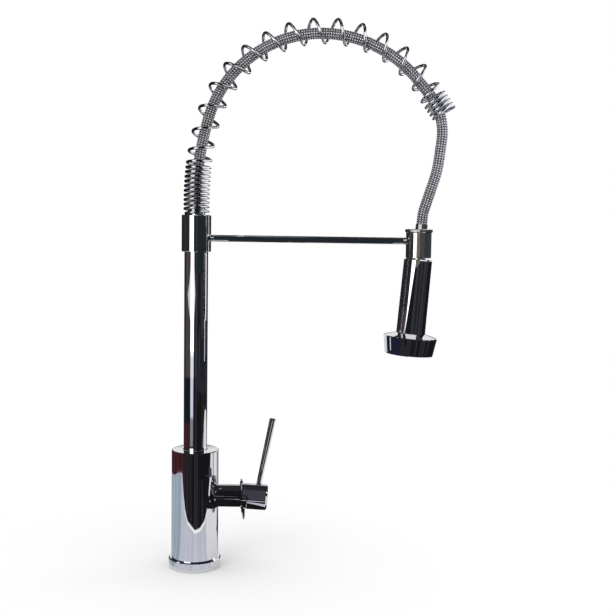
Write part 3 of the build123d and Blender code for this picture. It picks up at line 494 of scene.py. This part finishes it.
def make_camera():
    yaw, pitch, roll = radians(CAMERA_YAW), radians(CAMERA_PITCH), radians(CAMERA_ROLL)
    ahead = Vector((sin(yaw) * cos(pitch), cos(yaw) * cos(pitch), -sin(pitch)))
    right = Vector((cos(yaw), -sin(yaw), 0))
    up = right.cross(ahead)
    x_axis = right * cos(roll) + up * sin(roll)
    y_axis = up * cos(roll) - right * sin(roll)
    data = bpy.data.cameras.new("camera")
    data.sensor_width = SENSOR_WIDTH
    data.lens = FOCAL_LENGTH
    camera = bpy.data.objects.new("camera", data)
    turned = Matrix((x_axis, y_axis, -ahead)).transposed().to_4x4()
    camera.matrix_world = Matrix.Translation(Vector(CAMERA_PLACE)) @ turned
    scene.collection.objects.link(camera)
    scene.camera = camera


# ---------------------------------------------------------------- world and floor
SKY_LIGHT = 0.80                                # what lights the object, against 1 for what is seen
FLOOR_COLOUR = (0.97, 0.97, 0.975)
FLOOR_HALF = 8000.0
FLOOR_FADE = (0.08, 0.34)                       # metres from the object, where the floor turns plain white


def seen_plainly(tree):
    """1 for camera, glossy and transmission rays."""
    path = tree.nodes.new("ShaderNodeLightPath")
    first = tree.nodes.new("ShaderNodeMath")
    first.operation = "MAXIMUM"
    link(tree, path, "Is Camera Ray", first, 0)
    link(tree, path, "Is Glossy Ray", first, 1)
    second = tree.nodes.new("ShaderNodeMath")
    second.operation = "MAXIMUM"
    link(tree, first, "Value", second, 0)
    link(tree, path, "Is Transmission Ray", second, 1)
    return second


def make_world():
    world = bpy.data.worlds.new("studio")
    scene.world = world
    world.use_nodes = True
    tree = world.node_tree
    background = tree.nodes["Background"]
    background.inputs["Color"].default_value = (1.0, 1.0, 1.0, 1.0)
    strength = span(tree, seen_plainly(tree), "Value", SKY_LIGHT, 1.0, start=0.0, end=1.0)
    link(tree, strength, "Result", background, "Strength")


def make_floor():
    material, tree, diffuse = new_material("pale_floor")
    diffuse.inputs["Base Color"].default_value = (*FLOOR_COLOUR, 1.0)
    diffuse.inputs["Roughness"].default_value = 0.9
    diffuse.inputs["Specular IOR Level"].default_value = 0.0
    glow = tree.nodes.new("ShaderNodeEmission")
    glow.inputs["Color"].default_value = (1.0, 1.0, 1.0, 1.0)
    coords = tree.nodes.new("ShaderNodeTexCoord")
    reach = tree.nodes.new("ShaderNodeVectorMath")
    reach.operation = "LENGTH"
    link(tree, coords, "Object", reach, 0)
    far = span(tree, reach, "Value", 0.0, 1.0, *FLOOR_FADE)
    far.interpolation_type = "SMOOTHSTEP"
    share = tree.nodes.new("ShaderNodeMath")
    share.operation = "MULTIPLY"
    link(tree, far, "Result", share, 0)
    link(tree, seen_plainly(tree), "Value", share, 1)
    mix = tree.nodes.new("ShaderNodeMixShader")
    link(tree, share, "Value", mix, 0)
    tree.links.new(diffuse.outputs[0], mix.inputs[1])
    tree.links.new(glow.outputs[0], mix.inputs[2])
    tree.links.new(mix.outputs[0], tree.nodes["Material Output"].inputs["Surface"])
    corners = [Vector((x * FLOOR_HALF, y * FLOOR_HALF, 0)) for x, y in ((-1, -1), (1, -1), (1, 1), (-1, 1))]
    mesh_piece("floor", corners, [(0, 1, 2, 3)], material, smooth=False)


# ---------------------------------------------------------------- studio pieces that only reflections show
STREAK_SCALE = 0.11
STREAK_EDGES = (0.40, 0.66)


def glow_material(name, dark, pale=None):
    """Plain light of one colour, or of two that alternate in streaks round the object."""
    material, tree, shader = new_material(name)
    tree.nodes.remove(shader)
    glow = tree.nodes.new("ShaderNodeEmission")
    glow.inputs["Color"].default_value = (*dark, 1.0)
    if pale:
        azimuth = attribute(tree, "azimuth")
        streaks = tree.nodes.new("ShaderNodeTexNoise")
        streaks.noise_dimensions = "1D"
        streaks.inputs["Scale"].default_value = STREAK_SCALE
        streaks.inputs["Detail"].default_value = 4.0
        link(tree, azimuth, "Fac", streaks, "W")
        tint = ramp(tree, streaks, "Fac", tuple(zip(STREAK_EDGES, (dark, pale))))
        link(tree, tint, "Color", glow, "Color")
    tree.links.new(glow.outputs[0], tree.nodes["Material Output"].inputs["Surface"])
    return material


def reflected_stage(name, points, faces, material, azimuths=None):
    piece = mesh_piece(name, points, faces, material, smooth=False)
    if azimuths:
        keep_values(piece, "azimuth", azimuths)
    piece.visible_camera = False
    piece.visible_diffuse = False
    piece.visible_shadow = False
    piece.visible_transmission = False
    piece.visible_volume_scatter = False


def room_point(azimuth, radius, height):
    """Azimuth 0 is towards the camera, 90 is +X."""
    return Vector((radius * sin(radians(azimuth)), -radius * cos(radians(azimuth)), height))


def screen(name, start, end, profile, *colours):
    """A studio screen round the object; profile gives its (radius, height) points at an azimuth."""
    count = max(2, int((end - start) / SCREEN_STEP))
    points, faces, azimuths = [], [], []
    for k in range(count + 1):
        azimuth = start + (end - start) * k / count
        line = profile(azimuth)
        points += [room_point(azimuth, radius, height) for radius, height in line]
        azimuths += [azimuth] * len(line)
    rows = len(line)
    for k in range(count):
        for row in range(rows - 1):
            low = k * rows + row
            faces.append((low, low + 1, low + rows + 1, low + rows))
    reflected_stage(name, points, faces, glow_material(name, *colours), azimuths)


def card(name, corners, colour):
    points = [Vector(corner) for corner in corners]
    reflected_stage(name, points, [(0, 1, 2, 3)], glow_material(name, colour))


def softbox(name, azimuth, radius, height, width, tall, level, aim, glossy=True):
    """An area light of one brightness; its width, tall and aim are in metres."""
    data = bpy.data.lights.new(name, "AREA")
    data.shape = "RECTANGLE"
    data.size = width
    data.size_y = tall
    data.energy = level * pi * width * tall
    lamp = bpy.data.objects.new(name, data)
    place = room_point(azimuth, radius, height) * MM
    way = Vector(aim) - place
    lamp.location = place
    lamp.rotation_euler = way.to_track_quat("-Z", "Y").to_euler()
    lamp.visible_camera = False
    lamp.visible_glossy = glossy
    scene.collection.objects.link(lamp)


# ---------------------------------------------------------------- the room and the table
ROOM_RADIUS = 1500.0
ROOM_TOP = 1300.0
DOME_HEIGHT = 300.0
DOME_STEPS = 6
SCREEN_STEP = 2                                 # degrees
GROUND_HEIGHT = 1.0
TABLE_HEIGHT = 0.6
TABLE_START = 40.0
RIM_HEIGHT = 1.5
RIM_WIDTH = 16.0

# how far the pale table reaches from the object, by azimuth
TABLE_EDGE = ((-180, 700), (-150, 470), (-112, 470), (-80, 500), (-60, 500), (-55, 440), (-51, 370),
              (-41, 285), (-29, 235), (6, 192), (30, 202), (53, 235), (65, 285), (74, 375), (82, 480),
              (86, 650), (90, 780), (100, 900), (108, 1040), (130, 1040), (180, 700))


def wall(low, high, radius=ROOM_RADIUS):
    return lambda azimuth: [(radius, low), (radius, high)]


def dome(low, high):
    """Part of a dome of the room's radius, between two elevations."""
    rises = [radians(low + (high - low) * k / DOME_STEPS) for k in range(DOME_STEPS + 1)]
    line = [(ROOM_RADIUS * cos(rise), DOME_HEIGHT + ROOM_RADIUS * sin(rise)) for rise in rises]
    return lambda azimuth: line


def table_edge(azimuth):
    azimuth = (azimuth + 180) % 360 - 180
    for (low, near), (high, far) in zip(TABLE_EDGE, TABLE_EDGE[1:]):
        if low <= azimuth <= high:
            return near + (far - near) * (azimuth - low) / (high - low)


def ground(inner=0.0, outer=ROOM_RADIUS):
    """The floor past the table, between two radii."""
    def line(azimuth):
        near = max(inner, table_edge(azimuth))
        return [(near, GROUND_HEIGHT), (max(outer, near + 1), GROUND_HEIGHT)]
    return line


def table(azimuth):
    return [(TABLE_START, TABLE_HEIGHT), (table_edge(azimuth), TABLE_HEIGHT)]


def table_rim(azimuth):
    edge = table_edge(azimuth)
    return [(edge - RIM_WIDTH, RIM_HEIGHT), (edge, RIM_HEIGHT)]


BLACK = (0.007, 0.007, 0.009)
WHITE = (1.0, 1.0, 1.0)
GROUND_TONES = (BLACK, (0.045, 0.043, 0.050))
DOME_TONES = ((0.016, 0.016, 0.018), (0.06, 0.06, 0.065))

# name, azimuths, profile, and one colour or the two of its streaks
SCREENS = (
    ("screen_front", -15, 108, wall(0.0, ROOM_TOP), (0.010, 0.012, 0.014), (0.075, 0.075, 0.085)),
    ("screen_right_low", 108, 120, wall(0.0, 150.0), BLACK),
    ("screen_back_left", 205, 250, wall(470.0, ROOM_TOP), (0.02, 0.02, 0.024), (0.06, 0.06, 0.065)),
    ("screen_back", 120, 250, wall(0.0, 470.0), (0.012, 0.012, 0.014), (0.05, 0.05, 0.055)),
    ("screen_left_low", -110, -47, wall(0.0, 330.0), (0.055, 0.040, 0.042), (0.16, 0.13, 0.13)),
    ("screen_left", -110, -47, wall(330.0, ROOM_TOP), (0.018, 0.018, 0.020), (0.07, 0.065, 0.07)),
    ("screen_upper_back", 100, 260, dome(30, 84), *DOME_TONES),
    ("screen_upper_front", -100, 100, dome(42, 84), *DOME_TONES),
    ("ground_front", -17, 90, ground(), *GROUND_TONES),
    ("ground_front_left", -46, -17, ground(outer=680.0), *GROUND_TONES),
    ("ground_strip", -46, -17, ground(inner=680.0, outer=960.0), (0.20, 0.24, 0.27), (0.34, 0.38, 0.42)),
    ("ground_strip_far", -46, -17, ground(inner=960.0), (0.70, 0.80, 1.0), (0.90, 0.95, 1.0)),
    ("front_glow", -75, 75, wall(640.0, 1250.0, radius=900.0), (1.35, 1.35, 1.35)),
    ("ground_left", -150, -46, ground(outer=900.0), (0.032, 0.010, 0.012), (0.125, 0.036, 0.040)),
    ("ground_far_left", -115, -46, ground(inner=900.0), BLACK, (0.03, 0.03, 0.045)),
    ("ground_back", 90, 245, ground(), BLACK, (0.04, 0.04, 0.045)),
    ("table_rim", -62, 84, table_rim, (1.25, 1.25, 1.25)),
    ("table_left", -140, -62, table, (0.36, 0.45, 0.53), (0.60, 0.66, 0.74)),
    ("table_back", 135, 220, table, (0.30, 0.30, 0.32), (0.45, 0.45, 0.47)),
    ("table_front", -62, 60, table, (0.66, 0.67, 0.75), (0.80, 0.81, 0.88)),
)


# ---------------------------------------------------------------- cards close to the object that only reflections show: the dark ones put painted shade and the pale or glowing ones painted highlights into the chrome
def upright(left, right, y, low, high):
    """Corners of a card that faces the camera."""
    return (left, y, low), (right, y, low), (right, y, high), (left, y, high)


def flat(left, right, near, far, z):
    """Corners of a level card."""
    return (left, near, z), (right, near, z), (right, far, z), (left, far, z)


def block(start, end, low, high):
    """Azimuths and heights of the corners of a card that stands round an upright line."""
    return (start, low), (end, low), (end, high), (start, high)


def round_line(x, radius, spots):
    """Corners from azimuths and heights, at a radius round the upright line at x."""
    return [room_point(azimuth, radius, height) + Vector((x, 0, 0)) for azimuth, height in spots]


HOUSING_START = 24                              # along x, where the valve housing leaves the body
CAP_START = 62
CAP_END = 97
HEAD_X = 258                                    # the spray head's middle
HEAD_ROUND = 150                                # radius of the cards round the spray head's lower part
RING_ROUND = 200
SPRING_ROUND = 60
BULGE_ROUND = 1480
DEEP = (0.012, 0.012, 0.014)
SHADE = (0.022, 0.030, 0.034)
# a dim card colour that paints the darker reflections in the valve cap and lever
CAP_PAINTED_SHADE = (0.070, 0.066, 0.085)

VALVE_CARDS = (
    ("before_valve", ((HOUSING_START, -38, 74), (CAP_START, -38, 72), (CAP_START, -18, 72),
                      (HOUSING_START, -18, 74)), DEEP),
    ("before_cap", ((CAP_START, -38, 70), (CAP_END, -38, 70), (CAP_END, -18, 70), (CAP_START, -31, 70)),
     DEEP),
    ("under_cap", ((CAP_START, -24, 70), (CAP_END, -7, 70), (CAP_END, 12, 70), (CAP_START, 12, 70)), DEEP),
    ("under_housing", flat(HOUSING_START, CAP_START, -18, 8, 74), DEEP),
    ("behind_disc", flat(50, 130, 110, 560, 1), DEEP),
    ("valve_flag", upright(20, 100, -60, 100, 190), DEEP),
    ("lever_light", ((69.5, -50, 106), (90.4, -50, 106), (103.1, -50, 169), (82.2, -50, 169)),
     (0.55, 0.55, 0.57)),
    ("lever_under_flag", flat(58, 106, -13, -50, 104), CAP_PAINTED_SHADE),
    ("cap_front", upright(64, 94, -40, 78, 103), CAP_PAINTED_SHADE),
    ("lever_side_flag", ((62, -32, 70), (62, -78, 70), (62, -78, 200), (62, -32, 200)), DEEP),
)

ARCH_CARDS = (
    ("rod_flag", ((16, -60, 350), (186, -60, 350), (186, -60, 480), (40, -60, 480)), SHADE),
    ("rod_start_flag", upright(20, 46, -12, 374, 428), SHADE),
    ("rod_end_flag", upright(180, 245, -12, 374, 436), SHADE),
    ("collar_shade", round_line(0, 90, block(12, 78, 350, 424)), SHADE),
    ("spring_light", ((40, -45, 434), (52, 30, 434), (52, 30, 505), (40, -45, 505)), (1.2, 1.2, 1.2)),
    ("spring_dark", round_line(0, SPRING_ROUND, block(-150, -50, 426, 640)), DEEP),
    ("spring_stripe", round_line(0, SPRING_ROUND, block(-50, -20, 426, 640)), (1.3, 1.3, 1.3)),
    ("spring_front", round_line(0, SPRING_ROUND, block(-20, 33, 426, 640)), DEEP),
    ("end_light", ((318, -50, 436), (332, 40, 436), (332, 40, 650), (318, -50, 650)), (1.15, 1.2, 1.3)),
    ("end_dark", upright(262, 304, -50, 540, 640), DEEP),
)

HEAD_CARDS = (
    ("ferrule_light", round_line(HEAD_X, 60, block(-70, 5, 440, 406)), (0.9, 0.9, 0.9)),
    ("head_flag", round_line(HEAD_X, 250, ((-22, 372), (-8, 372), (-8, 262), (-60, 262))), DEEP),
    ("ring_warm_reflection", round_line(HEAD_X, RING_ROUND, block(-20, 6, 408, 364)), (0.24, 0.22, 0.19)),
    ("ring_shade", round_line(HEAD_X, RING_ROUND, block(6, 48, 408, 364)), (0.10, 0.10, 0.10)),
    ("ring_edge", round_line(HEAD_X, RING_ROUND, block(48, 150, 424, 364)), (0.050, 0.062, 0.072)),
    ("handle_edge", round_line(HEAD_X, HEAD_ROUND, block(85, 150, 364, 262)), DEEP),
    ("bell_shade", round_line(HEAD_X, HEAD_ROUND, block(85, 135, 262, 190)), DEEP),
    ("bell_edge", round_line(HEAD_X, HEAD_ROUND, block(-165, -120, 272, 236)), (0.86, 0.85, 0.95)),
    ("bell_dark", round_line(HEAD_X, HEAD_ROUND, block(-90, -45, 262, 190)), (0.02, 0.02, 0.045)),
    ("bell_line", round_line(HEAD_X, HEAD_ROUND, block(-97, -92, 290, 236)), WHITE),
)

COLUMN_CARDS = (
    ("bulge_left", round_line(0, BULGE_ROUND, ((-47, 150), (-47, 295), (-64, 246), (-82, 222))),
     (0.9, 0.88, 0.9)),
    ("bulge_right", round_line(0, BULGE_ROUND, ((-15, 150), (-15, 295), (-6, 250), (-1, 222))), WHITE),
    ("under_rod", flat(24, 248, -170, 120, 210), (0.03, 0.03, 0.034)),
)


def make_studio():
    for row in SCREENS:
        screen(*row)
    for row in VALVE_CARDS + ARCH_CARDS + HEAD_CARDS + COLUMN_CARDS:
        card(*row)
    softbox("key_softbox", -32, radius=1600.0, height=800.0, width=1.10, tall=1.5, level=1.75,
            aim=(0.0, 0.0, 0.8))
    softbox("edge_strip", 114, radius=1600.0, height=700.0, width=0.50, tall=1.3, level=1.5,
            aim=(0.0, 0.0, 0.7))
    softbox("top_soft", 0, radius=0.0, height=2200.0, width=1.4, tall=1.4, level=1.0, aim=(0.05, 0.02, 0.0),
            glossy=False)


# ---------------------------------------------------------------- build
def dress_frame(materials):
    """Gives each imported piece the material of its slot; the docking ring has a duller chrome of its own."""
    for name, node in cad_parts.items():
        for held in node.material_slots:
            slot = "chrome_ring" if name == "holder_ring" else held.material.name.split(".")[0]
            held.material = materials[slot]


make_camera()
make_world()
make_floor()
make_studio()
materials = make_materials()
dress_frame(materials)
arch_spring(materials["chrome"])
build_hose(materials["braided_hose"], materials["black_rubber"])

scene.view_settings.view_transform = "Standard"
